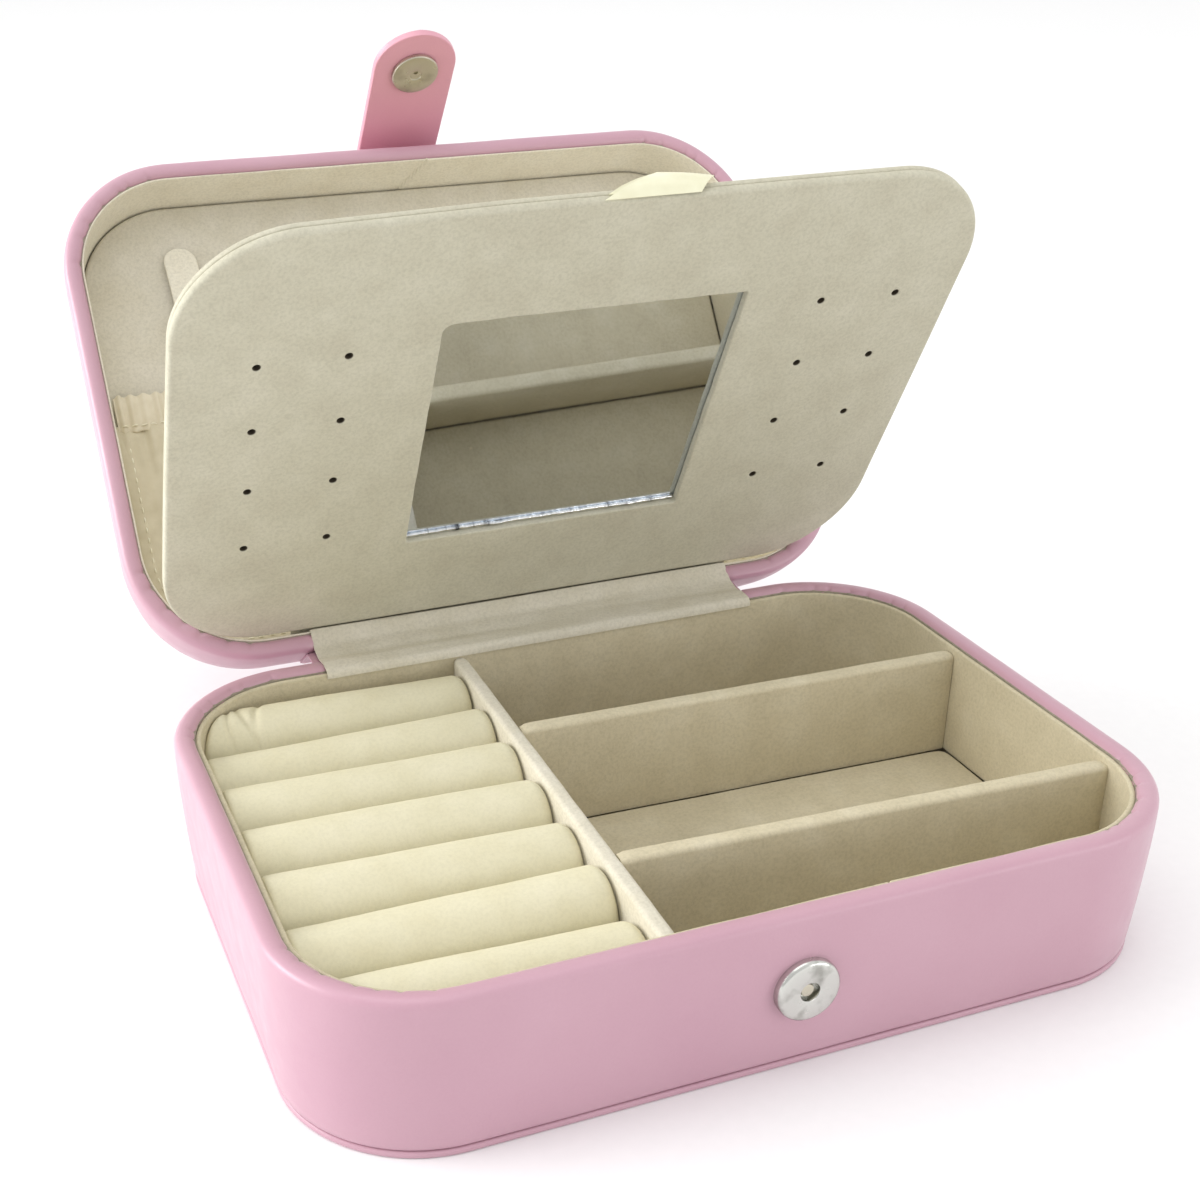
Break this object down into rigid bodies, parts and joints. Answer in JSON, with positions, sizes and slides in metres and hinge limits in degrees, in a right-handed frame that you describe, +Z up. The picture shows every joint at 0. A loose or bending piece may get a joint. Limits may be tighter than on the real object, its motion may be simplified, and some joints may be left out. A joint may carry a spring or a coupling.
{
  "type": "jewellery case",
  "caption": "Rounded leather jewellery case: lined tray with dividers and ring rolls, hinged lid with a tilting mirror panel, and a snap tab.",
  "frame": {"origin": "middle of the tray's underside", "axes": "+Z up, -Y towards the snap side, +Y towards the lid hinge, +X to the right seen from the snap side"},
  "size_m": [0.201, 0.2602, 0.1773],
  "materials": {
    "leather": "smooth pink, low sheen",
    "suede": "short cream nap",
    "roll_suede": "short creamy yellow nap over foam",
    "satin": "satin",
    "board": "stiff fibreboard",
    "nickel": "nickel plate, lightly brushed",
    "mirror": "silvered glass"
  },
  "bodies": {
    "tray": {"bottom_cover": "leather", "floor_board": "board", "floor_pad": "suede", "tray_wall_core": "board", "tray_leather": "leather", "tray_wall_lining": "suede", "long_divider": "suede", "cross_divider_rear": "suede", "cross_divider_front": "suede", "ring_roll_1": "roll_suede", "ring_roll_2": "roll_suede", "ring_roll_3": "roll_suede", "ring_roll_4": "roll_suede", "ring_roll_5": "roll_suede", "ring_roll_6": "roll_suede", "ring_roll_7": "roll_suede", "tray_snap_disc": "nickel", "tray_snap_rivet": "nickel", "tray_snap_washer": "nickel", "tray_hinge_leather": "leather", "tray_hinge_lining": "suede"},
    "lid": {"lid_leather": "leather", "lid_wall_core": "board", "lid_board": "board", "lid_wall_lining": "suede", "lid_back_panel": "suede", "lid_pocket": "satin", "lid_pocket_hem": "satin", "necklace_keeper": "suede", "tab_root": "leather", "lid_hinge_leather": "leather", "lid_hinge_lining": "suede"},
    "mirror_panel": {"panel_front": "suede", "panel_back": "suede", "mirror_glass": "mirror", "ribbon_pull": "satin", "panel_hinge_tape": "suede"},
    "tab": {"tab_outer_leather": "leather", "tab_inner_leather": "leather", "tab_snap_disc": "nickel", "tab_snap_rivet": "nickel"}
  },
  "joints": [
    {"name": "lid_hinge", "type": "hinge", "parent": "tray", "child": "lid", "pos_m": [0, 0.0731, 0.0371], "axis": [1, 0, 0], "range_deg": [0, 131]},
    {"name": "panel_hinge", "type": "hinge", "parent": "lid", "child": "mirror_panel", "pos_m": [0, 0.08048, 0.04155], "axis": [1, 0, 0], "range_deg": [-68.5, 0]},
    {"name": "tab_hinge", "type": "hinge", "parent": "lid", "child": "tab", "pos_m": [0.001, 0.18705, 0.1342], "axis": [1, 0, 0], "range_deg": [-90, 12]}
  ],
  "couplings": [
    {"joint": "panel_hinge", "follows": "lid_hinge", "ratio": -0.5229}
  ]
}
